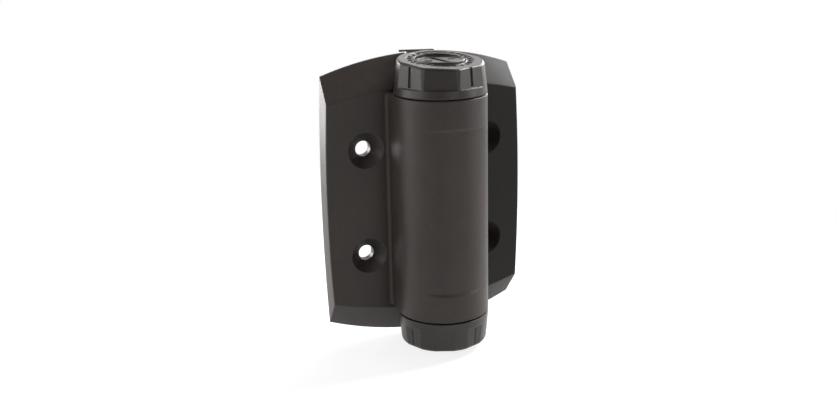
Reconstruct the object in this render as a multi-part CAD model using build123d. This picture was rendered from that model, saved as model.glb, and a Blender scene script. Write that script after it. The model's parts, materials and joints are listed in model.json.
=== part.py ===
from build123d import *
import math
import os

os.makedirs("parts", exist_ok=True)

# Self-closing gate hinge with a screwdriver tension dial.
# Modelled about the hinge axis (Z), the wall side is +Y and the front is -Y.
# Every part is then moved so the origin is the centre of the post leaf's screws.

# Clearances
RUN_GAP = 0.05
BODY_GAP = 0.6
TAIL_GAP = 0.45
KNUCKLE_GAP = 0.4

# Barrel
BARREL_R = 19.0
BARREL_Z = 46.0
BARREL_EDGE_R = 0.6
BARREL_WALL = 5.0
BACK_WALL = 1.0
WEB_INNER_X = 1.0
FLANGE_SINK = 1.8
KEY_W = 4.0
KEY_DEPTH = 1.5
PANEL_EDGE_DEG = 52.0
PANEL_DEPTH = 0.6
PANEL_EDGE_Z = 10.0
PANEL_RAMP = 2.5

# Leaf plates, with the arch of each outline measured above the barrel's end
LEAF_T = 9.0
LIP_T = 0.8
BASE_EDGE_X = 44.9
FACE_EDGE_X = 44.65
EDGE_BOW = 1.3
BASE_ARCH = 15.0
BASE_DROP = 8.0
FACE_ARCH = 2.1
FACE_DROP = 5.8
FACE_EDGE_R = 0.8
REST_TURN_DEG = 10.0

# Screw holes
HOLE_OUT = 9.7
HOLE_Z = 22.6
HOLE_R = 3.25
SINK_R = 7.5
SINK_ANGLE = 82.0

# Pockets moulded in the back of each leaf
POCKET_DEPTH = 5.0
POCKET_EDGE = 2.7
POCKET_END = 2.2
POCKET_COVER = 1.3
RIB_T = 1.8
POCKET_COLUMNS = 2
POCKET_ROWS = 5
BOSS_R = 9.5

# Bushes, washers and pivots
BUSH_WALL = 2.0
BUSH_FLANGE_W = 2.0
BUSH_FLANGE_T = 2.0
WASHER_T = 0.75
FLANGE_W = 2.0
FLAT_DEPTH = 1.4
FLANGE_T = 1.5
PIN_CHAMFER = 0.5

# Gate leaf knuckles
GATE_INNER_X = 4.0
TAIL_X = 4.5
LUG_X = 8.0
LUG_RISE = 1.1
LUG_FALL = 0.8
LUG_DEPTH = 1.4
LUG_GAP = 0.3
KNUCKLE_T = 9.0
SNAP_RISE = 3.0
SNAP_H = 1.4
SNAP_DEPTH = 0.5

# End caps
CAP_GAP = 0.5
CAP_FIT = 0.25
CAP_WALL = 3.35
CAP_TOP_T = 3.85
CAP_SLOPE_DEG = 6.0
CAP_TAPER_DEG = 6.3
CAP_EDGE_R = 1.3
FLAT_RISE = 3.3
FLAT_STEP = 1.25
FLAT_LEAN_DEG = 4.4
LOW_CAP_T = 3.2
LOW_CAP_TAPER_DEG = 5.0
LOW_CAP_EDGE_R = 1.9
LOW_FLAT_STEP = 0.5
FLAT_PITCH_DEG = 45.0
FLAT_TURN_DEG = -20.0
GROOVE_W = 1.3
GROOVE_DEPTH = 0.6
GROOVE_RISE = 0.6
GROOVE_LEN = 8.0
SCALE_GAP = 0.6
SCALE_W = 3.0
SCALE_DEPTH = 0.3

# Dial
SLEEVE_WALL = 0.95
DIAL_STEP = 1.05
DIAL_HOLE_GAP = 0.3
DIAL_SINK = 0.05
DIAL_EDGE = 0.3
DIAL_RIM_W = 1.0
DIAL_FACE_DEPTH = 0.35
HEAD_T = 1.45
HEAD_GAP = 0.1
TRAVEL = 4.2
STOP_GAP = 0.5
TEETH = 24
TOOTH_STEP = 0.15
TOOTH_DEPTH = 0.8
TOOTH_CLEAR = 0.12
COLLAR_T = 3.2
TOOTH_END_GAP = 0.1
HEAD_STEP = 0.4
DIAL_NECK_GAP = 1.95
HEX_AF = 9.0
HEX_CLEAR = 0.1
SLOT_W = 2.6
SLOT_DEPTH = 1.9
SLOT_END = 2.6
SLOT_TURN_DEG = 10.0
ORING_WIRE_R = 0.5
ORING_SIDES = 8
ORING_RISE = 1.0

# Spring driver, clip and springs
DRIVER_NECK_GAP = 0.9
RELIEF_GAP = 0.05
CLIP_T = 1.0
CLIP_LAND = 0.75
CLIP_GROOVE = 0.75
CLIP_GAP = 0.4
CLIP_REST = 0.25
SHOULDER_T = 5.5
DRIVER_WASHER_T = 0.5
DRIVER_FLANGE_GAP = 1.0
DRIVER_FLANGE_T = 2.4
MANDREL_LEN = 17.0
SOCKET_FLOOR = 4.0
SHANK_ENGAGE = 5.5
SPRING_WIRE_R = 1.6
SPRING_WALL_GAP = 2.0
MANDREL_GAP = 1.3
SPRING_TURNS = 10
SPRING_END_GAP = 0.25
TANG_LEN = 4.0
TANG_CLEAR = 0.3
ANCHOR_T = 6.5
GUIDE_LEN = 11.5
RETURN_R = 3.2
RETURN_WIRE_R = 0.4
RETURN_TURNS = 6

# Sizes that follow from the ones above
AXIS_TO_WALL = BARREL_R + BACK_WALL
HOLE_X = BARREL_R + HOLE_OUT
BORE_R = BARREL_R - BARREL_WALL
BASE_ARCH_Z = BARREL_Z + BASE_ARCH
BASE_CORNER_Z = BASE_ARCH_Z - BASE_DROP
FACE_ARCH_Z = BARREL_Z + FACE_ARCH
FACE_CORNER_Z = FACE_ARCH_Z - FACE_DROP
PANEL_Z = BARREL_Z - PANEL_EDGE_Z
PIVOT_R = BORE_R - BUSH_WALL
BUSH_FLANGE_R = BORE_R + BUSH_FLANGE_W - RUN_GAP
KEY_R = BORE_R + KEY_DEPTH
WASHER_Z0 = BARREL_Z - FLANGE_SINK + BUSH_FLANGE_T + RUN_GAP
RING_Z0 = WASHER_Z0 + WASHER_T
RING_Z1 = RING_Z0 + KNUCKLE_T
SNAP_Z = RING_Z0 + SNAP_RISE
CAP_Z0 = BARREL_Z + CAP_GAP
CAP_Z1 = RING_Z1 + CAP_TOP_T
CAP_BORE_R = BARREL_R - CAP_WALL
RING_R = CAP_BORE_R - CAP_FIT
WASHER_R = RING_R - CAP_FIT
FLAT_FLANGE_R = PIVOT_R + FLANGE_W
FLAT_HALF = FLAT_FLANGE_R - FLAT_DEPTH

# Dial stack, from the sleeve inwards and from the top down
HEAD_BORE_R = PIVOT_R - SLEEVE_WALL
HEAD_R = HEAD_BORE_R - HEAD_GAP
DIAL_R = HEAD_R - DIAL_STEP
DIAL_HOLE_R = DIAL_R + DIAL_HOLE_GAP
DIAL_FACE_R = DIAL_R - DIAL_RIM_W
SLOT_LEN = 2 * (DIAL_R - SLOT_END)
SCALE_R0 = DIAL_HOLE_R + SCALE_GAP
SCALE_R1 = SCALE_R0 + SCALE_W
TOOTH_ROOT_R = DIAL_R - TOOTH_STEP
TOOTH_TIP_R = TOOTH_ROOT_R - TOOTH_DEPTH
DIAL_NECK_R = TOOTH_TIP_R - DIAL_NECK_GAP
DRIVER_NECK_R = TOOTH_TIP_R - DRIVER_NECK_GAP
DRIVER_FLANGE_R = BORE_R - DRIVER_FLANGE_GAP
DIAL_Z1 = CAP_Z1 - DIAL_SINK
HEAD_Z1 = RING_Z1 - RUN_GAP
HEAD_Z0 = HEAD_Z1 - HEAD_T
ORING_Z = RING_Z1 + ORING_RISE
ORING_R = DIAL_HOLE_R - RUN_GAP - ORING_WIRE_R
HEAD_BORE_Z = HEAD_Z0 - TRAVEL - STOP_GAP
COLLAR_Z1 = HEAD_BORE_Z - HEAD_STEP
COLLAR_Z0 = COLLAR_Z1 - COLLAR_T
TOOTH_Z0 = COLLAR_Z0 - 2 * TOOTH_END_GAP
RELIEF_R = TOOTH_ROOT_R + RELIEF_GAP
DRIVER_TOP_Z = COLLAR_Z0 - TRAVEL - STOP_GAP
CLIP_Z1 = DRIVER_TOP_Z - CLIP_LAND
CLIP_Z0 = CLIP_Z1 - CLIP_T
CLIP_R = RELIEF_R - CLIP_GAP
CLIP_GROOVE_R = DRIVER_NECK_R - CLIP_GROOVE
SHOULDER_Z = CLIP_Z0 - CLIP_REST
NECK_BORE_R = DRIVER_NECK_R + RUN_GAP
PIN_LOW_Z = SHOULDER_Z - SHOULDER_T
DRIVER_FLANGE_Z1 = PIN_LOW_Z - DRIVER_WASHER_T - 2 * RUN_GAP
DRIVER_FLANGE_Z0 = DRIVER_FLANGE_Z1 - DRIVER_FLANGE_T
MANDREL_Z = DRIVER_FLANGE_Z0 - MANDREL_LEN
SOCKET_Z = MANDREL_Z + SOCKET_FLOOR
SHANK_Z = DRIVER_TOP_Z - SHANK_ENGAGE
ANCHOR_Z0 = -PIN_LOW_Z
ANCHOR_Z1 = ANCHOR_Z0 + ANCHOR_T
GUIDE_Z = ANCHOR_Z1 + GUIDE_LEN
SPRING_R = BORE_R - SPRING_WALL_GAP - SPRING_WIRE_R
MANDREL_R = SPRING_R - SPRING_WIRE_R - MANDREL_GAP
SPRING_Z0 = ANCHOR_Z1 + SPRING_WIRE_R + SPRING_END_GAP
SPRING_Z1 = DRIVER_FLANGE_Z0 - SPRING_WIRE_R - SPRING_END_GAP

WALL_Y = AXIS_TO_WALL
FACE_Y = AXIS_TO_WALL - LEAF_T
TO_ROW = Location((HOLE_X, -AXIS_TO_WALL, 0))
REST_TURN = Rotation(0, 0, REST_TURN_DEG)
ENDS = (1, -1)


def disc(radius, z0, z1):
    """Solid cylinder on the hinge axis between two heights."""
    low = min(z0, z1)
    return Pos(0, 0, low) * Cylinder(radius, abs(z1 - z0), align=(Align.CENTER, Align.CENTER, Align.MIN))


def box(x0, x1, y0, y1, z0, z1):
    """Box between two corners."""
    middle = ((x0 + x1) / 2, (y0 + y1) / 2, (z0 + z1) / 2)
    return Pos(*middle) * Box(abs(x1 - x0), abs(y1 - y0), abs(z1 - z0))


def hex_bar(across_flats, z0, z1):
    """Hexagonal bar on the hinge axis."""
    sketch = RegularPolygon(across_flats / 2, 6, major_radius=False)
    return Pos(0, 0, z0) * extrude(sketch, z1 - z0)


def mirrored(shape, end):
    """The shape itself for the top end, or its mirror image for the bottom."""
    return shape if end > 0 else mirror(shape, about=Plane.XY)


def leaf_wire(y, edge_x, arch_z, corner_z, inner_x):
    """Outline of a left-hand leaf at depth y, with arched ends and a bowed edge."""
    drop = arch_z - corner_z

    def top(x):
        return arch_z - drop * (x / edge_x) ** 2

    mid_x = (inner_x - edge_x) / 2
    inner_z = top(inner_x)
    edges = [
        ThreePointArc((-edge_x, y, corner_z), (mid_x, y, top(mid_x)), (inner_x, y, inner_z)),
        Line((inner_x, y, inner_z), (inner_x, y, -inner_z)),
        ThreePointArc((inner_x, y, -inner_z), (mid_x, y, -top(mid_x)), (-edge_x, y, -corner_z)),
        ThreePointArc((-edge_x, y, -corner_z), (-edge_x - EDGE_BOW, y, 0), (-edge_x, y, corner_z)),
    ]
    return Wire(edges)


def back_pockets():
    """Grid of coring pockets in a left-hand leaf, clear of the screw bosses."""
    x0 = -BASE_EDGE_X + POCKET_EDGE
    half_z = FACE_CORNER_Z - POCKET_END
    width = (POCKET_COVER - BARREL_R - x0 - (POCKET_COLUMNS - 1) * RIB_T) / POCKET_COLUMNS
    height = (2 * half_z - (POCKET_ROWS - 1) * RIB_T) / POCKET_ROWS
    bosses = [wall_hole(BOSS_R, end * HOLE_Z) for end in ENDS]
    pockets = []
    for column in range(POCKET_COLUMNS):
        for row in range(POCKET_ROWS):
            x = x0 + column * (width + RIB_T)
            z = -half_z + row * (height + RIB_T)
            pocket = box(x, x + width, WALL_Y - POCKET_DEPTH, WALL_Y + LIP_T, z, z + height)
            pockets.append(pocket - bosses[0] - bosses[1])
    return pockets


def wall_hole(radius, z):
    """Cylinder through a left-hand leaf on a screw's axis."""
    return Pos(-HOLE_X, WALL_Y, z) * Rot(90, 0, 0) * Cylinder(radius, 4 * LEAF_T)


def leaf_plate(inner_x):
    """Left-hand leaf: bevelled plate with countersunk holes and cored back."""
    lip_y = WALL_Y - LIP_T
    back = leaf_wire(WALL_Y, BASE_EDGE_X, BASE_ARCH_Z, BASE_CORNER_Z, inner_x)
    lip = leaf_wire(lip_y, BASE_EDGE_X, BASE_ARCH_Z, BASE_CORNER_Z, inner_x)
    face = leaf_wire(FACE_Y, FACE_EDGE_X, FACE_ARCH_Z, FACE_CORNER_Z, inner_x)
    plate = Solid.make_loft([lip, face], ruled=True) + Solid.extrude(Face(back), Vector(0, -LIP_T, 0))
    rim = [
        e for e in plate.edges()
        if abs(e.center().Y - FACE_Y) < LIP_T / 2 and e.center().X < inner_x - LEAF_T
    ]
    plate = fillet(rim, FACE_EDGE_R)
    for pocket in back_pockets():
        plate = plate - pocket
    sink_depth = (SINK_R - HOLE_R) / math.tan(math.radians(SINK_ANGLE / 2))
    for end in ENDS:
        cone = Rot(90, 0, 0) * Cone(HOLE_R, SINK_R, sink_depth, align=(Align.CENTER, Align.CENTER, Align.MIN))
        cone = Pos(-HOLE_X, FACE_Y + sink_depth, end * HOLE_Z) * cone
        plate = plate - wall_hole(HOLE_R, end * HOLE_Z) - cone
    return plate


def tail_space():
    """Room that the gate leaf's end arms need in the post leaf."""
    space = Part()
    for end in ENDS:
        arm = box(-TAIL_X - TAIL_GAP, BASE_EDGE_X, -WALL_Y, 2 * WALL_Y, BARREL_Z, 2 * BARREL_Z)
        arm = REST_TURN * arm
        space = space + mirrored(arm + disc(BARREL_R + 1.5 * BODY_GAP, BARREL_Z, 2 * BARREL_Z), end)
    return space


def panel_recess():
    """Shallow bare panel on the front of the barrel, with sloped ends."""
    half = math.radians(PANEL_EDGE_DEG)
    edge_x = BARREL_R * math.sin(half)
    edge_y = BARREL_R * math.cos(half)
    floor = BARREL_R - PANEL_DEPTH
    rise = floor - edge_y
    floor_r = (edge_x ** 2 + rise ** 2) / (2 * rise)
    core_y = floor_r - floor
    flat_z = PANEL_Z - PANEL_RAMP
    core = disc(floor_r, -flat_z, flat_z)
    ramp = Cone(floor_r, floor_r + 2 * PANEL_DEPTH, PANEL_RAMP, align=(Align.CENTER, Align.CENTER, Align.MIN))
    core = core + Pos(0, 0, flat_z) * ramp + mirror(Pos(0, 0, flat_z) * ramp, about=Plane.XY)
    block = box(-edge_x - 1, edge_x + 1, -2 * BARREL_R, -edge_y + 1, -PANEL_Z, PANEL_Z)
    return block - Pos(0, core_y, 0) * core


def make_post_leaf():
    """Post leaf moulded in one with the barrel."""
    leaf = leaf_plate(-WEB_INNER_X)
    leaf = leaf + box(-BARREL_R, -WEB_INNER_X, 0, WALL_Y, -BARREL_Z, BARREL_Z)
    leaf = leaf - tail_space()
    barrel = disc(BARREL_R, -BARREL_Z, BARREL_Z)
    leaf = leaf + fillet(barrel.edges().filter_by(GeomType.CIRCLE), BARREL_EDGE_R)
    leaf = leaf - disc(BORE_R, -BARREL_Z, BARREL_Z)
    for end in ENDS:
        leaf = leaf - disc(BUSH_FLANGE_R + RUN_GAP, end * (BARREL_Z - FLANGE_SINK), end * BARREL_Z)
    leaf = leaf - box(-KEY_W / 2, KEY_W / 2, 0, KEY_R, -BARREL_Z, ANCHOR_Z1)
    return leaf - panel_recess()


def arm_lug():
    """Raised lug on the back edge of an end arm, lapping over the post leaf."""
    slope = (LEAF_T - LIP_T) / (BASE_ARCH_Z - FACE_ARCH_Z)
    lip_y = WALL_Y - LIP_T
    top = BASE_ARCH_Z + LUG_RISE
    low = BASE_ARCH_Z - LUG_DEPTH
    points = [(WALL_Y, low), (WALL_Y, top), (lip_y, top), (lip_y - slope * (top - low), low)]
    lug = extrude(Plane.YZ * make_face(Polyline(*points, close=True)), LUG_X, both=True)
    outline = [(-LUG_X, low), (-LUG_X, top), (LUG_X, top - LUG_FALL), (LUG_X, low)]
    lug = lug & extrude(Plane.XZ * make_face(Polyline(*outline, close=True)), 2 * WALL_Y, both=True)
    return lug - box(-2 * LUG_X, -TAIL_X, 0, 2 * WALL_Y, 0, BASE_ARCH_Z + LUG_GAP)


def make_gate_leaf():
    """Gate leaf with its two end arms and knuckle rings, turned back at rest."""
    plate = mirror(leaf_plate(TAIL_X), about=Plane.YZ)
    reach = BARREL_Z + KNUCKLE_GAP
    plate = plate - disc(BARREL_R + BODY_GAP, -reach, reach)
    plate = plate - box(-BARREL_R, GATE_INNER_X, 0, 2 * WALL_Y, -reach, reach)
    for end in ENDS:
        plate = plate + mirrored(arm_lug(), end)
        plate = plate - disc(WASHER_R + BODY_GAP, end * reach, end * RING_Z0)
        ring = disc(RING_R, end * RING_Z0, end * RING_Z1)
        plate = plate + ring
        plate = plate - disc(PIVOT_R, end * RING_Z0, end * 2 * RING_Z1)
        seat = disc(FLAT_FLANGE_R + RUN_GAP, end * (RING_Z1 - FLANGE_T), end * RING_Z1)
        half = FLAT_HALF + RUN_GAP
        seat = seat & box(-half, half, -RING_R, RING_R, 0, end * 2 * RING_Z1)
        plate = plate - seat
        groove = disc(RING_R + 1, end * SNAP_Z, end * (SNAP_Z + SNAP_H))
        groove = groove - disc(RING_R - SNAP_DEPTH, end * SNAP_Z, end * (SNAP_Z + SNAP_H))
        groove = groove & box(-2 * RING_R, 2 * RING_R, -2 * RING_R, FACE_Y - SNAP_H, 0, end * RING_Z1)
        plate = plate - groove
    return REST_TURN * plate


def arm_space():
    """Space of the arm's bevelled end behind a cap, in the gate leaf's turn."""
    bevel_run = BASE_ARCH_Z - FACE_ARCH_Z
    bevel_rise = LEAF_T - LIP_T
    gap = BODY_GAP / 2
    slope = bevel_rise / bevel_run
    y_face = FACE_Y - gap
    y_top = y_face + slope * (BASE_ARCH_Z - FACE_ARCH_Z)
    points = [
        (y_face, BARREL_Z),
        (y_face, FACE_ARCH_Z),
        (y_top, BASE_ARCH_Z),
        (2 * WALL_Y, BASE_ARCH_Z),
        (2 * WALL_Y, BARREL_Z),
    ]
    profile = Plane.YZ * make_face(Polyline(*points, close=True))
    return REST_TURN * extrude(profile, 2 * BARREL_R, both=True)


def cap_top(top_z, slope_deg):
    """Place of a cap's top face on the axis, sloping down away from the gate leaf."""
    return REST_TURN * Pos(0, 0, top_z) * Rot(slope_deg, 0, 0)


def under_top(top_z, slope_deg):
    """Block below a cap's top face."""
    span = 6 * BARREL_R
    return cap_top(top_z, slope_deg) * Box(span, span, span, align=(Align.CENTER, Align.CENTER, Align.MAX))


def cap_shell(top_z, slope_deg, taper_deg, edge_r, flat_step, groove_depth):
    """Tapered round cap with three flats in front and three behind, grooves in the outer ones."""
    high = top_z + BARREL_R - CAP_Z0
    top_r = BARREL_R - high * math.tan(math.radians(taper_deg))
    cone = Pos(0, 0, CAP_Z0) * Cone(BARREL_R, top_r, high, align=(Align.CENTER, Align.CENTER, Align.MIN))
    cone = cone & under_top(top_z, slope_deg)
    cone = fillet(cone.faces().sort_by(Axis.Z)[-1].edges(), edge_r)
    flat_z = CAP_Z0 + FLAT_RISE
    flat_r = BARREL_R - FLAT_RISE * math.tan(math.radians(taper_deg)) - flat_step
    block = box(-2 * BARREL_R, 2 * BARREL_R, -2 * BARREL_R, 2 * BARREL_R, flat_z, flat_z + high)
    grooves = []
    for side in (0, 180):
        for index in (-1, 0, 1):
            turn = FLAT_TURN_DEG - 90 + side + index * FLAT_PITCH_DEG
            flat = Rot(0, 0, turn) * Pos(flat_r, 0, flat_z) * Rot(0, -FLAT_LEAN_DEG, 0)
            block = block - flat * box(0, 3 * BARREL_R, -3 * BARREL_R, 3 * BARREL_R, -BARREL_R, 2 * high)
            if index:
                end = GROOVE_RISE + GROOVE_LEN
                grooves.append(flat * box(-groove_depth, BARREL_R, -GROOVE_W / 2, GROOVE_W / 2, GROOVE_RISE, end))
    block = block & under_top(top_z, slope_deg)
    block = fillet(block.faces().sort_by(Axis.Z)[-1].edges(), edge_r)
    shell = (cone & disc(2 * BARREL_R, CAP_Z0, flat_z)) + (cone & block)
    for groove in grooves:
        shell = shell - groove
    shell = shell - disc(CAP_BORE_R, CAP_Z0, RING_Z1)
    bead = disc(CAP_BORE_R, SNAP_Z + SNAP_DEPTH / 2, SNAP_Z + SNAP_H - SNAP_DEPTH / 2)
    bead = bead - disc(RING_R - SNAP_DEPTH + RUN_GAP, SNAP_Z, SNAP_Z + SNAP_H)
    bead = bead & REST_TURN * box(-2 * RING_R, 2 * RING_R, -2 * RING_R, FACE_Y - 2 * SNAP_H, 0, RING_Z1)
    return shell + bead - arm_space()


def make_top_cap():
    """Top cap with the dial opening and a shallow scale ring in its sloping top."""
    cap = cap_shell(CAP_Z1, CAP_SLOPE_DEG, CAP_TAPER_DEG, CAP_EDGE_R, FLAT_STEP, GROOVE_DEPTH)
    cap = cap - disc(DIAL_HOLE_R, CAP_Z0, 2 * CAP_Z1)
    ring = disc(SCALE_R1, -SCALE_DEPTH, SCALE_DEPTH) - disc(SCALE_R0, -SCALE_DEPTH, SCALE_DEPTH)
    return cap - cap_top(CAP_Z1, CAP_SLOPE_DEG) * ring


def make_bottom_cap():
    """Closed bottom cap with a level end and shallower flats."""
    top_z = RING_Z1 + LOW_CAP_T
    cap = cap_shell(top_z, 0, LOW_CAP_TAPER_DEG, LOW_CAP_EDGE_R, LOW_FLAT_STEP, GROOVE_DEPTH / 3)
    return mirror(cap, about=Plane.XY)


def make_bush(end):
    """Flanged bearing bush in one end of the barrel."""
    flange_z = BARREL_Z - FLANGE_SINK
    flange_top = flange_z + BUSH_FLANGE_T
    bush = disc(BORE_R, end * PIN_LOW_Z, end * flange_z)
    bush = bush + disc(BUSH_FLANGE_R, end * flange_z, end * flange_top)
    return bush - disc(PIVOT_R + RUN_GAP, end * PIN_LOW_Z, end * flange_top)


def make_washer(end):
    """Thrust washer under one knuckle ring."""
    return disc(WASHER_R, end * WASHER_Z0, end * RING_Z0) - disc(PIVOT_R, end * WASHER_Z0, end * RING_Z0)


def tooth_star(tip_r, root_r, z0, z1):
    """Disc with one pointed tooth for each index position."""
    points = []
    for index in range(2 * TEETH):
        angle = math.pi * index / TEETH
        radius = tip_r if index % 2 else root_r
        points.append((radius * math.cos(angle), radius * math.sin(angle)))
    return Pos(0, 0, z0) * extrude(make_face(Polyline(*points, close=True)), z1 - z0)


def flat_flange(end):
    """Two-flat flange that keeps a pivot from turning in its knuckle."""
    flange = disc(FLAT_FLANGE_R, end * (RING_Z1 - FLANGE_T), end * RING_Z1)
    return flange & box(-FLAT_HALF, FLAT_HALF, -RING_R, RING_R, 0, end * 2 * RING_Z1)


def make_lock_sleeve():
    """Top pivot: tube with internal index teeth that lock the dial."""
    sleeve = disc(PIVOT_R, PIN_LOW_Z, RING_Z1) + REST_TURN * flat_flange(1)
    sleeve = sleeve - disc(HEAD_BORE_R, HEAD_BORE_Z, RING_Z1)
    sleeve = sleeve - tooth_star(TOOTH_TIP_R, TOOTH_ROOT_R, TOOTH_Z0, COLLAR_Z1 + TOOTH_END_GAP)
    sleeve = sleeve - disc(TOOTH_ROOT_R, COLLAR_Z1 + TOOTH_END_GAP, HEAD_BORE_Z)
    sleeve = sleeve - disc(RELIEF_R, SHOULDER_Z, TOOTH_Z0)
    return sleeve - disc(NECK_BORE_R, PIN_LOW_Z, SHOULDER_Z)


def make_bottom_pivot_pin():
    """Bottom pivot, hollow at its inner end, with a locked flange."""
    pin = disc(PIVOT_R, -PIN_LOW_Z, -RING_Z1) + REST_TURN * flat_flange(-1)
    pin = pin - disc(PIVOT_R / 2, -PIN_LOW_Z, -RING_Z0)
    return chamfer(pin.faces().sort_by(Axis.Z)[-1].outer_wire().edges(), PIN_CHAMFER)


def make_adjuster_dial():
    """Slotted dial with a held-in head, an index collar and a hexagonal shank."""
    knob = disc(DIAL_R, HEAD_Z1, DIAL_Z1)
    knob = chamfer(knob.faces().sort_by(Axis.Z)[-1].edges(), DIAL_EDGE)
    knob = knob - disc(DIAL_FACE_R, DIAL_Z1 - DIAL_FACE_DEPTH, DIAL_Z1)
    groove = disc(DIAL_HOLE_R, ORING_Z - ORING_WIRE_R, ORING_Z + ORING_WIRE_R)
    knob = knob - (groove - disc(ORING_R - ORING_WIRE_R, ORING_Z - ORING_WIRE_R, ORING_Z + ORING_WIRE_R))
    slot_z = DIAL_Z1 - SLOT_DEPTH
    slot = box(-SLOT_W / 2, SLOT_W / 2, -SLOT_LEN / 2, SLOT_LEN / 2, slot_z, DIAL_Z1)
    knob = knob - Rot(0, 0, SLOT_TURN_DEG) * slot
    dial = knob + disc(HEAD_R, HEAD_Z0, HEAD_Z1) + disc(DIAL_NECK_R, COLLAR_Z1, HEAD_Z0)
    collar = tooth_star(TOOTH_TIP_R - TOOTH_CLEAR, TOOTH_ROOT_R - TOOTH_CLEAR, COLLAR_Z0, COLLAR_Z1)
    return dial + collar + hex_bar(HEX_AF, SHANK_Z, COLLAR_Z0)


def make_dial_o_ring():
    """Seal between the dial and the cap's hole."""
    section = Plane.XZ * Pos(ORING_R, ORING_Z) * RegularPolygon(ORING_WIRE_R, ORING_SIDES)
    return revolve(section, Axis.Z)


def make_driver_washer():
    """Thin thrust washer between the spring driver and the lock sleeve."""
    low = DRIVER_FLANGE_Z1 + RUN_GAP / 2
    washer = disc(PIVOT_R, low, low + DRIVER_WASHER_T)
    return washer - disc(DRIVER_NECK_R + HEAD_GAP, low, low + DRIVER_WASHER_T)


def make_spring_driver():
    """Driver that winds the spring: flange, neck, hexagonal socket and mandrel."""
    driver = disc(DRIVER_FLANGE_R, DRIVER_FLANGE_Z0, DRIVER_FLANGE_Z1)
    driver = driver + disc(DRIVER_NECK_R, DRIVER_FLANGE_Z1, DRIVER_TOP_Z)
    driver = driver + disc(MANDREL_R, MANDREL_Z, DRIVER_FLANGE_Z0)
    driver = driver - hex_bar(HEX_AF + 2 * HEX_CLEAR, SOCKET_Z, DRIVER_TOP_Z)
    clip = disc(CLIP_R, CLIP_Z0, CLIP_Z1) - disc(CLIP_GROOVE_R, CLIP_Z0, CLIP_Z1)
    tang = Pos(SPRING_R, 0, DRIVER_FLANGE_Z0) * Cylinder(SPRING_WIRE_R + TANG_CLEAR, 4 * TANG_LEN)
    return driver - clip - tang


def make_driver_circlip():
    """Open ring in the driver's groove that hangs it on the sleeve's shoulder."""
    clip = disc(CLIP_R, CLIP_Z0, CLIP_Z1) - disc(CLIP_GROOVE_R, CLIP_Z0, CLIP_Z1)
    return clip - box(0, CLIP_R, -CLIP_GROOVE_R / 3, CLIP_GROOVE_R / 3, CLIP_Z0, CLIP_Z1)


def coil(mean_r, wire_r, z0, z1, turns, sides, steps):
    """Helical wire as one ruled loft through rotated wire sections."""
    sections = []
    count = round(turns * steps)
    for index in range(count + 1):
        angle = 360.0 * turns * index / count
        z = z0 + (z1 - z0) * index / count
        ring = Pos(0, 0, z) * Rot(0, 0, angle) * Pos(mean_r, 0, 0) * Rot(90, 0, 0)
        sections.append((ring * RegularPolygon(wire_r, sides)).face().outer_wire())
    return Solid.make_loft(sections, ruled=True)


def make_torsion_spring():
    """Wound closing spring with a tang at each end."""
    spring = coil(SPRING_R, SPRING_WIRE_R, SPRING_Z0, SPRING_Z1, SPRING_TURNS, 6, 18)
    upper = Pos(SPRING_R, 0, SPRING_Z1) * extrude(RegularPolygon(SPRING_WIRE_R, 6), TANG_LEN)
    lower = Pos(SPRING_R, 0, SPRING_Z0 - TANG_LEN - SPRING_WIRE_R) * extrude(
        RegularPolygon(SPRING_WIRE_R, 6), TANG_LEN + SPRING_WIRE_R
    )
    return spring + upper + lower


def make_return_spring():
    """Light spring that lifts the dial back into its index teeth."""
    low = SOCKET_Z + RETURN_WIRE_R
    high = SHANK_Z - RETURN_WIRE_R
    return coil(RETURN_R, RETURN_WIRE_R, low, high, RETURN_TURNS, 6, 14)


def make_spring_anchor():
    """Keyed anchor that ties the spring's lower tang to the barrel."""
    anchor = disc(BORE_R - RUN_GAP, ANCHOR_Z0, ANCHOR_Z1)
    anchor = anchor + disc(MANDREL_R, ANCHOR_Z1, GUIDE_Z)
    half = KEY_W / 2 - RUN_GAP
    anchor = anchor + box(-half, half, 0, KEY_R - RUN_GAP, ANCHOR_Z0, ANCHOR_Z1)
    tang = Pos(SPRING_R, 0, ANCHOR_Z1) * Cylinder(SPRING_WIRE_R + TANG_CLEAR, 3 * TANG_LEN)
    return anchor - tang


PARTS = {
    "post_leaf": make_post_leaf(),
    "top_bush": make_bush(1),
    "bottom_bush": make_bush(-1),
    "spring_anchor": make_spring_anchor(),
    "torsion_spring": make_torsion_spring(),
    "gate_leaf": make_gate_leaf(),
    "top_cap": make_top_cap(),
    "bottom_cap": make_bottom_cap(),
    "lock_sleeve": make_lock_sleeve(),
    "bottom_pivot_pin": make_bottom_pivot_pin(),
    "top_thrust_washer": make_washer(1),
    "bottom_thrust_washer": make_washer(-1),
    "spring_driver": make_spring_driver(),
    "driver_washer": make_driver_washer(),
    "driver_circlip": make_driver_circlip(),
    "return_spring": make_return_spring(),
    "adjuster_dial": make_adjuster_dial(),
    "dial_o_ring": make_dial_o_ring(),
}

for name, shape in PARTS.items():
    placed = TO_ROW * shape
    export_step(placed, f"parts/{name}.step")
    size = placed.bounding_box()
    print(name, "solids", len(placed.solids()), "valid", placed.is_valid, "size", size.size)
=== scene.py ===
import json
import math

import bpy
from mathutils import Matrix, Vector


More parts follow.
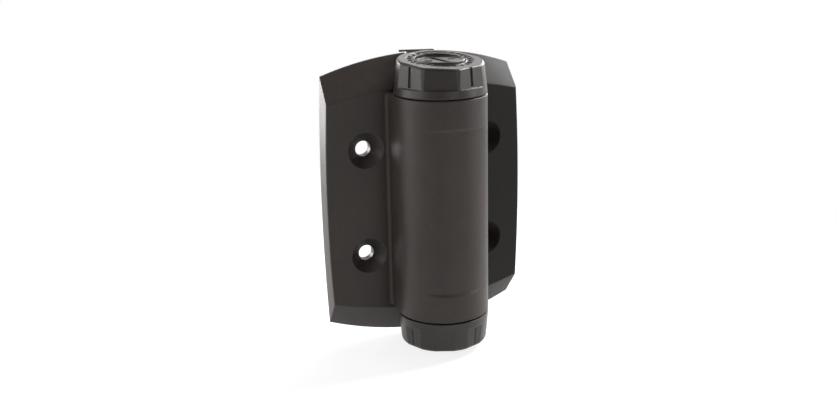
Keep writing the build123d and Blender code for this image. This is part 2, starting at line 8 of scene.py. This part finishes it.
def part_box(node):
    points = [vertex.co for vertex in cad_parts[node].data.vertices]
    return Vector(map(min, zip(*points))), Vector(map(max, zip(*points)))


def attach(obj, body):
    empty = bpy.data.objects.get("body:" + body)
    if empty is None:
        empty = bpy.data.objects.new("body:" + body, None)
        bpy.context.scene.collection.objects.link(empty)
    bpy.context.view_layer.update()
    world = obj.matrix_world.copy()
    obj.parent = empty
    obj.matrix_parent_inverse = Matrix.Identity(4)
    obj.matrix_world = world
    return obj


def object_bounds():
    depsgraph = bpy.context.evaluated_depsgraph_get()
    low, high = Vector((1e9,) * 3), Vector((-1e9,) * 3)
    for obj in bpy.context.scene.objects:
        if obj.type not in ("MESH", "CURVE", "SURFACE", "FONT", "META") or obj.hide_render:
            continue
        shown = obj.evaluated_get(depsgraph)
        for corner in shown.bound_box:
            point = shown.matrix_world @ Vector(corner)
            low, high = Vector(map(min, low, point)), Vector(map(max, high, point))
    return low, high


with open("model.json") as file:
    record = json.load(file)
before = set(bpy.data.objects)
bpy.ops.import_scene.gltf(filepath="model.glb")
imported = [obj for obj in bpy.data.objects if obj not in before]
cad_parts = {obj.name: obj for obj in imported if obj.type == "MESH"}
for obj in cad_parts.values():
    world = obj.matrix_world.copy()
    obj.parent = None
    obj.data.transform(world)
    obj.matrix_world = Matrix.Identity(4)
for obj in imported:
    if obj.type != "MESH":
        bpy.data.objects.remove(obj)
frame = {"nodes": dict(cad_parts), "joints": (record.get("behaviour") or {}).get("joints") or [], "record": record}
cad_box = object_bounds()

MM = 0.001

# The hinge's own places, read from the frame
swing = next(joint for joint in frame["joints"] if joint["name"] == "gate_swing")
AXIS_X, AXIS_Y, _ = swing["pos_m"]
DIAL_TOP_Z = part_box("adjuster_dial")[1].z
gate_face = next(mount for mount in frame["record"]["mounts"] if mount["name"] == "gate_face")
GATE_TURN = math.atan2(-gate_face["axis"][0], gate_face["axis"][1])

# Photograph's camera, about the point on the wall plane behind the hinge axis
PHOTO_W = 836
PHOTO_AZIMUTH = math.radians(-19.5)
PHOTO_ELEVATION = math.radians(15.0)
PHOTO_ROLL = math.radians(-1.05)
PHOTO_FOCAL_PX = 1043
PHOTO_DISTANCE = 450.3 * MM
PHOTO_CENTRE_PX = (7.7, -8.3)
SENSOR_MM = 36
VIEW_NEAR = 0.01
VIEW_FAR = 20

# What shows in the moulded nylon's skin. Its spark-eroded grain is near 0.1 mm on a real
# moulding and is drawn at 0.45 mm, so that it shows.
CORNER_R = 0.6 * MM
GRAIN = 0.45 * MM
GRAIN_DEPTH = 0.02 * MM
CLOUD = 26 * MM
FLOW = 5 * MM
FLOW_STRETCH = 0.22
SPECK = 3.2 * MM

# What shows on the inner pieces: turning rings, wire marks and rubber bloom
TURNING_RING = 1.2 * MM
WIRE_MARK = 1.5 * MM
WIRE_MARK_DEPTH = 0.01 * MM
WIRE_MARK_SQUEEZE = 12.0
RUBBER_BLOOM = 2 * MM

# Shading of the walls: facets of a curve meet at less than the crease, ramps at more
SAME_POINT = 0.002 * MM
CREASE = math.radians(11.5)
FLAT_FACE_WEIGHT = 60

# Rounded root of the barrel's block on the leaf
ROOT_R = 1.3 * MM
ROOT_HALF = 45.6 * MM
ROOT_SIDES = 96
ROOT_CREASE = math.radians(30)
BLOCK_SIDE_X = AXIS_X - 19 * MM
LEAF_FACE_Y = AXIS_Y + 11 * MM

# Cap scale, in a shallow ring in the cap's sloping top, and the dial's marks. The sloping top
# crosses the hinge axis at CAP_MID_Z. A bar's top is drawn in by DRAFT_SHARE of its width, and
# its outer rim lies lower by SHOULDER_SHARE of its height.
CAP_MID_Z = DIAL_TOP_Z + 0.05 * MM
CAP_SLOPE = math.radians(6)
SCALE_STEPS = 24
SCALE_NUMBERS = 8
SCALE_R = 12.3 * MM
SCALE_DEPTH = 0.3 * MM
TICK_LENGTH = 1.7 * MM
TICK_WIDTH = 0.4 * MM
MARK_HEIGHT = 0.32 * MM
DRAFT_SHARE = 0.18
SHOULDER_SHARE = 0.3
NUMBER_SIZE = 2.6 * MM
NUMBER_BEVEL = 0.04 * MM
SIGN_R = 5.4 * MM
SIGN_LENGTH = 3.2 * MM
SIGN_WIDTH = 0.8 * MM
DIAL_FACE_DEPTH = 0.35 * MM
SLOT_TURN = math.radians(10)

# Room and floor. Gloss sees a dim room in front and white paper behind, changing between
# two values of its direction's Y.
ROOM_LIGHT = 0.15
ROOM_GLOSS = 0.2
GLOSS_FRONT = -0.75
GLOSS_BACK = 0.1
FLOOR_HALF = 3.0
FLOOR_GAP = 0.2 * MM
FLOOR_GREY = "#A8A8A8"
FLOOR_GLOW = 0.8
SHADOW_NEAR = 0.10
SHADOW_FAR = 0.34


def linear(hex_code):
    """Linear RGBA from an sRGB hex colour."""
    values = [int(hex_code[i:i + 2], 16) / 255 for i in (1, 3, 5)]
    return [v / 12.92 if v <= 0.04045 else ((v + 0.055) / 1.055) ** 2.4 for v in values] + [1]


def add_node(tree, kind, settings=None, values=None, links=None):
    """Adds one node, sets its settings and socket values, and links its sockets."""
    node = tree.nodes.new(kind)
    for name, value in (settings or {}).items():
        setattr(node, name, value)
    for socket, value in (values or {}).items():
        node.inputs[socket].default_value = value
    for socket, source in (links or {}).items():
        tree.links.new(source, node.inputs[socket])
    return node


def new_material(name):
    """An empty node material and its output node."""
    material = bpy.data.materials.new(name)
    material.use_nodes = True
    material.node_tree.nodes.clear()
    return material, material.node_tree, material.node_tree.nodes.new("ShaderNodeOutputMaterial")


def moulded_nylon(name, base, pale, dark, roughness, gloss=0.5):
    """Glass-filled nylon, injection moulded in a spark-eroded mould: a fine matt grain, faint
    cloudy flow where the glass comes near the skin, and scattered pale specks."""
    material, tree, out = new_material(name)
    place = add_node(tree, "ShaderNodeTexCoord").outputs["Object"]
    cloud = add_node(tree, "ShaderNodeTexNoise",
                     values={"Scale": 1 / CLOUD, "Detail": 4.0, "Roughness": 0.55},
                     links={"Vector": place})
    stretched = add_node(tree, "ShaderNodeMapping", values={"Scale": (1.0, 1.0, FLOW_STRETCH)},
                         links={"Vector": place})
    flow = add_node(tree, "ShaderNodeTexNoise",
                    values={"Scale": 1 / FLOW, "Detail": 5.0, "Roughness": 0.6},
                    links={"Vector": stretched.outputs["Vector"]})
    shade = add_node(tree, "ShaderNodeMix", {"data_type": "FLOAT"}, {"Factor": 0.4},
                     {"A": cloud.outputs["Fac"], "B": flow.outputs["Fac"]})
    tones = add_node(tree, "ShaderNodeValToRGB", links={"Fac": shade.outputs["Result"]})
    tones.color_ramp.elements[0].position = 0.34
    tones.color_ramp.elements[0].color = linear(dark)
    tones.color_ramp.elements[1].position = 0.68
    tones.color_ramp.elements[1].color = linear(base)
    speck = add_node(tree, "ShaderNodeTexVoronoi", values={"Scale": 1 / SPECK},
                     links={"Vector": place})
    spots = add_node(tree, "ShaderNodeMapRange",
                     values={"From Min": 0.045, "From Max": 0.09, "To Min": 0.5, "To Max": 0.0},
                     links={"Value": speck.outputs["Distance"]})
    colour = add_node(tree, "ShaderNodeMix", {"data_type": "RGBA"},
                      links={"Factor": spots.outputs["Result"], "A": tones.outputs["Color"]})
    colour.inputs["B"].default_value = linear(pale)
    grain = add_node(tree, "ShaderNodeTexNoise",
                     values={"Scale": 1 / GRAIN, "Detail": 2.0, "Roughness": 0.5},
                     links={"Vector": place})
    rough = add_node(tree, "ShaderNodeMapRange",
                     values={"To Min": roughness - 0.06, "To Max": roughness + 0.07},
                     links={"Value": flow.outputs["Fac"]})
    corners = add_node(tree, "ShaderNodeBevel", {"samples": 8}, {"Radius": CORNER_R})
    bump = add_node(tree, "ShaderNodeBump",
                    values={"Strength": 0.6, "Distance": GRAIN_DEPTH},
                    links={"Height": grain.outputs["Fac"], "Normal": corners.outputs["Normal"]})
    shader = add_node(tree, "ShaderNodeBsdfPrincipled",
                      values={"IOR": 1.46, "Specular IOR Level": gloss},
                      links={"Base Color": colour.outputs["Result"],
                             "Roughness": rough.outputs["Result"],
                             "Normal": bump.outputs["Normal"]})
    tree.links.new(shader.outputs["BSDF"], out.inputs["Surface"])
    return material


def acetal():
    """Natural acetal, machined: an even ivory white with faint turning rings."""
    material, tree, out = new_material("natural_acetal")
    place = add_node(tree, "ShaderNodeTexCoord").outputs["Object"]
    rings = add_node(tree, "ShaderNodeTexNoise", values={"Scale": 1 / TURNING_RING, "Detail": 2.0},
                     links={"Vector": place})
    tones = add_node(tree, "ShaderNodeValToRGB", links={"Fac": rings.outputs["Fac"]})
    tones.color_ramp.elements[0].color = linear("#DAD6C8")
    tones.color_ramp.elements[1].color = linear("#EFECE2")
    shader = add_node(tree, "ShaderNodeBsdfPrincipled", values={"Roughness": 0.38, "IOR": 1.48},
                      links={"Base Color": tones.outputs["Color"]})
    tree.links.new(shader.outputs["BSDF"], out.inputs["Surface"])
    return material


def steel(name, base, roughness):
    """Drawn stainless wire and turned pins: fine scratches round the axis."""
    material, tree, out = new_material(name)
    place = add_node(tree, "ShaderNodeTexCoord").outputs["Object"]
    squeezed = add_node(tree, "ShaderNodeMapping",
                        values={"Scale": (1.0, 1.0, WIRE_MARK_SQUEEZE)},
                        links={"Vector": place})
    marks = add_node(tree, "ShaderNodeTexNoise", values={"Scale": 1 / WIRE_MARK, "Detail": 3.0},
                     links={"Vector": squeezed.outputs["Vector"]})
    rough = add_node(tree, "ShaderNodeMapRange",
                     values={"To Min": roughness - 0.08, "To Max": roughness + 0.1},
                     links={"Value": marks.outputs["Fac"]})
    bump = add_node(tree, "ShaderNodeBump", values={"Strength": 0.3, "Distance": WIRE_MARK_DEPTH},
                    links={"Height": marks.outputs["Fac"]})
    shader = add_node(tree, "ShaderNodeBsdfPrincipled",
                      values={"Base Color": linear(base), "Metallic": 1.0},
                      links={"Roughness": rough.outputs["Result"],
                             "Normal": bump.outputs["Normal"]})
    tree.links.new(shader.outputs["BSDF"], out.inputs["Surface"])
    return material


def nitrile():
    """Moulded nitrile rubber: soot black with a soft bloom."""
    material, tree, out = new_material("nitrile_rubber")
    place = add_node(tree, "ShaderNodeTexCoord").outputs["Object"]
    bloom = add_node(tree, "ShaderNodeTexNoise", values={"Scale": 1 / RUBBER_BLOOM, "Detail": 2.0},
                     links={"Vector": place})
    tones = add_node(tree, "ShaderNodeValToRGB", links={"Fac": bloom.outputs["Fac"]})
    tones.color_ramp.elements[0].color = linear("#151515")
    tones.color_ramp.elements[1].color = linear("#242424")
    shader = add_node(tree, "ShaderNodeBsdfPrincipled", values={"Roughness": 0.6, "IOR": 1.5},
                      links={"Base Color": tones.outputs["Color"]})
    tree.links.new(shader.outputs["BSDF"], out.inputs["Surface"])
    return material


def paint(piece, material):
    """One material all over a piece."""
    piece.data.materials.clear()
    piece.data.materials.append(material)


def smooth_cad(node):
    """Soft shading on a CAD node's curved walls, with its ramps, bevels and corners kept crisp."""
    piece = frame["nodes"][node]
    for polygon in piece.data.polygons:
        polygon.use_smooth = True
    weld = piece.modifiers.new("weld", "WELD")
    weld.merge_threshold = SAME_POINT
    split = piece.modifiers.new("corners", "EDGE_SPLIT")
    split.split_angle = CREASE
    split.use_edge_sharp = False
    even = piece.modifiers.new("even", "WEIGHTED_NORMAL")
    even.weight = FLAT_FACE_WEIGHT


def start_clean():
    """Nothing selected, in object mode."""
    if bpy.context.object and bpy.context.object.mode != "OBJECT":
        bpy.ops.object.mode_set(mode="OBJECT")
    bpy.ops.object.select_all(action="DESELECT")


def settle(piece, name):
    """Applies a finished piece's place, so its object sits at the origin."""
    start_clean()
    piece.select_set(True)
    bpy.context.view_layer.objects.active = piece
    bpy.ops.object.transform_apply(location=True, rotation=True, scale=True)
    piece.name = name
    piece.data.name = name
    return piece


def raised_bar(length, width, height):
    """A small raised bar with sloping shoulders, lying along X, its foot at z 0."""
    start_clean()
    bpy.ops.mesh.primitive_cube_add(size=1)
    bar = bpy.context.object
    bar.scale = (length, width, height)
    bar.location.z = height / 2
    bpy.ops.object.transform_apply(location=True, rotation=False, scale=True)
    bpy.ops.object.mode_set(mode="EDIT")
    bpy.ops.mesh.select_all(action="DESELECT")
    bpy.ops.object.mode_set(mode="OBJECT")
    for face in bar.data.polygons:
        face.select = face.normal.z > 0.9
    bpy.ops.object.mode_set(mode="EDIT")
    bpy.ops.mesh.inset(thickness=DRAFT_SHARE * width)
    bpy.ops.object.mode_set(mode="OBJECT")
    for vertex in bar.data.vertices:
        if vertex.co.z > height / 2 and not vertex.select:
            vertex.co.z -= SHOULDER_SHARE * height
    return bar


def copy_at(piece, matrix):
    """A copy of a piece with its own mesh, placed by a matrix."""
    twin = piece.copy()
    twin.data = piece.data.copy()
    bpy.context.scene.collection.objects.link(twin)
    twin.data.transform(matrix)
    return twin


def joined(pieces, name):
    """Several pieces joined as one named mesh."""
    start_clean()
    for piece in pieces:
        piece.select_set(True)
    bpy.context.view_layer.objects.active = pieces[0]
    bpy.ops.object.join()
    return settle(bpy.context.object, name)


def number_mesh(text, size, height):
    """A plain raised figure, centred on the origin, its foot at z 0."""
    start_clean()
    bpy.ops.object.text_add()
    figure = bpy.context.object
    figure.data.body = text
    figure.data.size = size
    figure.data.align_x = "CENTER"
    figure.data.align_y = "CENTER"
    figure.data.extrude = height / 2
    figure.data.bevel_depth = NUMBER_BEVEL
    figure.location.z = height / 2
    bpy.ops.object.convert(target="MESH")
    bpy.ops.object.transform_apply(location=True, rotation=False, scale=False)
    return bpy.context.object


def round_axis(turn, radius, roll=0.0):
    """Matrix of a place on a level circle round Z, turned by roll where it stands."""
    return (Matrix.Rotation(turn, 4, "Z") @ Matrix.Translation((radius, 0, 0))
            @ Matrix.Rotation(roll, 4, "Z"))


def cap_scale(material):
    """Raised ticks and plain numbers round the dial, in the cap's shallow ring."""
    floor = (Matrix.Translation((AXIS_X, AXIS_Y, CAP_MID_Z)) @ Matrix.Rotation(GATE_TURN, 4, "Z")
             @ Matrix.Rotation(CAP_SLOPE, 4, "X") @ Matrix.Translation((0, 0, -SCALE_DEPTH)))
    tick = raised_bar(TICK_LENGTH, TICK_WIDTH, MARK_HEIGHT)
    marks = []
    per_number = SCALE_STEPS // SCALE_NUMBERS
    for step in range(SCALE_STEPS):
        turn = 2 * math.pi * step / SCALE_STEPS
        if step % per_number:
            marks.append(copy_at(tick, floor @ round_axis(turn, SCALE_R)))
        else:
            figure = number_mesh(str(step // per_number + 1), NUMBER_SIZE, MARK_HEIGHT)
            figure.data.transform(floor @ round_axis(turn, SCALE_R, math.pi / 2))
            marks.append(figure)
    bpy.data.objects.remove(tick)
    scale = joined(marks, "cap_scale")
    paint(scale, material)
    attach(scale, "gate")


def dial_signs(material):
    """A raised plus and minus either side of the screwdriver slot."""
    face = Matrix.Translation((AXIS_X, AXIS_Y, DIAL_TOP_Z - DIAL_FACE_DEPTH))
    bar = raised_bar(SIGN_LENGTH, SIGN_WIDTH, MARK_HEIGHT)
    minus = copy_at(bar, face @ round_axis(SLOT_TURN, SIGN_R))
    plus_a = copy_at(bar, face @ round_axis(SLOT_TURN + math.pi, SIGN_R))
    plus_b = copy_at(bar, face @ round_axis(SLOT_TURN + math.pi, SIGN_R, math.pi / 2))
    bpy.data.objects.remove(bar)
    signs = joined([minus, plus_a, plus_b], "dial_signs")
    paint(signs, material)
    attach(signs, "dial")


def block_root(material):
    """Hollow fillet, moulded where the barrel's block stands on the post leaf's face."""
    start_clean()
    bpy.ops.mesh.primitive_cube_add(size=1)
    root = bpy.context.object
    root.scale = (2 * ROOT_R, 2 * ROOT_R, 2 * ROOT_HALF)
    root.location = (BLOCK_SIDE_X, LEAF_FACE_Y, 0)
    bpy.ops.object.transform_apply(location=True, rotation=False, scale=True)
    hollow = (BLOCK_SIDE_X - ROOT_R, LEAF_FACE_Y - ROOT_R, 0)
    bpy.ops.mesh.primitive_cylinder_add(vertices=ROOT_SIDES, radius=ROOT_R, depth=3 * ROOT_HALF,
                                        location=hollow)
    cutter = bpy.context.object
    cut = root.modifiers.new("hollow", "BOOLEAN")
    cut.operation = "DIFFERENCE"
    cut.object = cutter
    start_clean()
    root.select_set(True)
    bpy.context.view_layer.objects.active = root
    bpy.ops.object.modifier_apply(modifier=cut.name)
    bpy.data.objects.remove(cutter)
    bpy.ops.object.shade_smooth_by_angle(angle=ROOT_CREASE)
    settle(root, "block_root")
    paint(root, material)
    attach(root, "post")


def background_rays(tree):
    """One for the rays that see the white background: camera, gloss and glass."""
    path = add_node(tree, "ShaderNodeLightPath")
    gloss = add_node(tree, "ShaderNodeMath", {"operation": "MAXIMUM"},
                     links={0: path.outputs["Is Camera Ray"], 1: path.outputs["Is Glossy Ray"]})
    glass = add_node(tree, "ShaderNodeMath", {"operation": "MAXIMUM"},
                     links={0: gloss.outputs["Value"], 1: path.outputs["Is Transmission Ray"]})
    return glass.outputs["Value"]


def floor_and_backdrop():
    """Plain white paper floor, with the hinge's soft shadow near it."""
    lowest = min(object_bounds()[0].z, cad_box[0].z)
    start_clean()
    bpy.ops.mesh.primitive_plane_add(size=2 * FLOOR_HALF, location=(0, 0, lowest - FLOOR_GAP))
    floor = settle(bpy.context.object, "studio_floor")
    material, tree, out = new_material("white_paper_floor")
    place = add_node(tree, "ShaderNodeTexCoord").outputs["Object"]
    far = add_node(tree, "ShaderNodeVectorMath", {"operation": "LENGTH"}, links={0: place})
    fade = add_node(tree, "ShaderNodeMapRange", {"interpolation_type": "SMOOTHSTEP"},
                    {"From Min": SHADOW_NEAR, "From Max": SHADOW_FAR},
                    {"Value": far.outputs["Value"]})
    diffuse = add_node(tree, "ShaderNodeBsdfDiffuse", values={"Color": linear(FLOOR_GREY)})
    glow = add_node(tree, "ShaderNodeEmission",
                    values={"Color": (1, 1, 1, 1), "Strength": FLOOR_GLOW})
    near = add_node(tree, "ShaderNodeAddShader",
                    links={0: diffuse.outputs["BSDF"], 1: glow.outputs["Emission"]})
    white = add_node(tree, "ShaderNodeEmission", values={"Color": (1, 1, 1, 1), "Strength": 1.0})
    sweep = add_node(tree, "ShaderNodeMixShader",
                     links={"Fac": fade.outputs["Result"], 1: near.outputs["Shader"],
                            2: white.outputs["Emission"]})
    mix = add_node(tree, "ShaderNodeMixShader",
                   links={"Fac": background_rays(tree), 1: diffuse.outputs["BSDF"],
                          2: sweep.outputs["Shader"]})
    tree.links.new(mix.outputs["Shader"], out.inputs["Surface"])
    paint(floor, material)


def world_light():
    """Dim even room; camera and glass see white paper, gloss sees it dim in front and white
    behind."""
    world = bpy.data.worlds.new("studio")
    bpy.context.scene.world = world
    world.use_nodes = True
    tree = world.node_tree
    tree.nodes.clear()
    out = tree.nodes.new("ShaderNodeOutputWorld")
    way = add_node(tree, "ShaderNodeTexCoord").outputs["Generated"]
    axes = add_node(tree, "ShaderNodeSeparateXYZ", links={"Vector": way})
    paper = add_node(tree, "ShaderNodeMapRange", {"interpolation_type": "SMOOTHSTEP"},
                     {"From Min": GLOSS_FRONT, "From Max": GLOSS_BACK,
                      "To Min": ROOM_GLOSS, "To Max": 1.0},
                     {"Value": axes.outputs["Y"]})
    path = add_node(tree, "ShaderNodeLightPath")
    dim = add_node(tree, "ShaderNodeBackground",
                   values={"Color": (1, 1, 1, 1), "Strength": ROOM_LIGHT})
    gloss = add_node(tree, "ShaderNodeBackground", values={"Color": (1, 1, 1, 1)},
                     links={"Strength": paper.outputs["Result"]})
    white = add_node(tree, "ShaderNodeBackground",
                     values={"Color": (1, 1, 1, 1), "Strength": 1.0})
    glossy = add_node(tree, "ShaderNodeMixShader",
                      links={"Fac": path.outputs["Is Glossy Ray"], 1: dim.outputs["Background"],
                             2: gloss.outputs["Background"]})
    seen = add_node(tree, "ShaderNodeMath", {"operation": "MAXIMUM"},
                    links={0: path.outputs["Is Camera Ray"],
                           1: path.outputs["Is Transmission Ray"]})
    mix = add_node(tree, "ShaderNodeMixShader",
                   links={"Fac": seen.outputs["Value"], 1: glossy.outputs["Shader"],
                          2: white.outputs["Background"]})
    tree.links.new(mix.outputs["Shader"], out.inputs["Surface"])


def softbox(name, bearing, height_angle, power, distance=1.0, size=0.36):
    """One square soft lamp, facing the barrel's middle from a bearing and a height angle, both
    in degrees, the bearing from +X towards +Y."""
    lamp = bpy.data.lights.new(name, "AREA")
    lamp.size = size
    lamp.energy = power
    holder = bpy.data.objects.new(name, lamp)
    bpy.context.scene.collection.objects.link(holder)
    turn, rise = math.radians(bearing), math.radians(height_angle)
    way = Vector((math.cos(turn) * math.cos(rise), math.sin(turn) * math.cos(rise), math.sin(rise)))
    holder.location = Vector((AXIS_X, AXIS_Y, 0)) + way * distance
    holder.rotation_euler = way.to_track_quat("Z", "Y").to_euler()


def studio_lamps():
    """A key high on the right, weaker boxes in front, at the sides and behind, and two low and
    near on the left."""
    softbox("key", 14, 42, 12.5)
    softbox("front_right", -26, 8, 1.9)
    softbox("front", -78, 12, 0.9)
    softbox("right", 15, 12, 0.6)
    softbox("back_right", 45, 12, 4.8)
    softbox("back_top", 73, 40, 1.55)
    softbox("back_left_low", 120, 2, 3.2, distance=0.6, size=0.3)
    softbox("left_low", 165, 2, 0.85, distance=0.6, size=0.3)
    softbox("left", -165, 14, 1.45)


def photo_camera():
    """Camera at the photograph's viewing angle, distance, lens and framing."""
    target = Vector((AXIS_X, 0, 0))
    azimuth, elevation = PHOTO_AZIMUTH, PHOTO_ELEVATION
    back = Vector((math.sin(azimuth) * math.cos(elevation),
                   -math.cos(azimuth) * math.cos(elevation), math.sin(elevation)))
    right = Vector((math.cos(azimuth), math.sin(azimuth), 0))
    up = right.cross(-back)
    side = right * math.cos(PHOTO_ROLL) + up * math.sin(PHOTO_ROLL)
    head = up * math.cos(PHOTO_ROLL) - right * math.sin(PHOTO_ROLL)
    data = bpy.data.cameras.new("photo_camera")
    camera = bpy.data.objects.new("photo_camera", data)
    bpy.context.scene.collection.objects.link(camera)
    turn = Matrix((side, head, back)).transposed().to_4x4()
    camera.matrix_world = Matrix.Translation(target + back * PHOTO_DISTANCE) @ turn
    data.sensor_width = SENSOR_MM
    data.lens = PHOTO_FOCAL_PX / PHOTO_W * SENSOR_MM
    data.shift_x = -PHOTO_CENTRE_PX[0] / PHOTO_W
    data.shift_y = PHOTO_CENTRE_PX[1] / PHOTO_W
    data.clip_start, data.clip_end = VIEW_NEAR, VIEW_FAR
    bpy.context.scene.camera = camera


# The gate leaf is the darker of the two leaves, and the caps are a little glossier. The two leaves are one nylon:
# the post leaf's lighter tone is painted light and the gate leaf's darker tone is painted shade
lit_leaf_nylon = moulded_nylon("moulded_nylon_leaf_painted_light", "#463E3A", "#645D58", "#393330", 0.44, gloss=0.37)
shaded_gate_nylon = moulded_nylon("moulded_nylon_gate_painted_shade", "#24201E", "#3D3835", "#1E1B19", 0.41, gloss=0.21)
cap_nylon = moulded_nylon("moulded_nylon_cap", "#39332E", "#55504B", "#2F2A27", 0.38, gloss=0.46)
dial_nylon = moulded_nylon("moulded_nylon_dial", "#35302D", "#524E4A", "#2C2825", 0.42, gloss=0.45)
inner_nylon = moulded_nylon("moulded_nylon_inner", "#2A2827", "#403D3B", "#21201F", 0.5)
acetal_white = acetal()
spring_steel = steel("drawn_spring_steel", "#9B9B9D", 0.36)
pin_steel = steel("turned_stainless_pin", "#B4B4B6", 0.3)
rubber = nitrile()

# The post leaf and its block root take the painted-light copy of the nylon, and the gate leaf takes the
# painted-shade copy
finishes = {
    "post_leaf": lit_leaf_nylon,
    "gate_leaf": shaded_gate_nylon,
    "top_cap": cap_nylon,
    "bottom_cap": cap_nylon,
    "adjuster_dial": dial_nylon,
    "spring_anchor": inner_nylon,
    "lock_sleeve": inner_nylon,
    "spring_driver": inner_nylon,
    "top_bush": acetal_white,
    "bottom_bush": acetal_white,
    "top_thrust_washer": acetal_white,
    "bottom_thrust_washer": acetal_white,
    "driver_washer": acetal_white,
    "torsion_spring": spring_steel,
    "return_spring": spring_steel,
    "driver_circlip": spring_steel,
    "bottom_pivot_pin": pin_steel,
    "dial_o_ring": rubber,
}
for node, finish in finishes.items():
    paint(frame["nodes"][node], finish)
    smooth_cad(node)

block_root(lit_leaf_nylon)
cap_scale(cap_nylon)
dial_signs(dial_nylon)
floor_and_backdrop()
world_light()
studio_lamps()
photo_camera()
bpy.context.scene.view_settings.view_transform = "Standard"
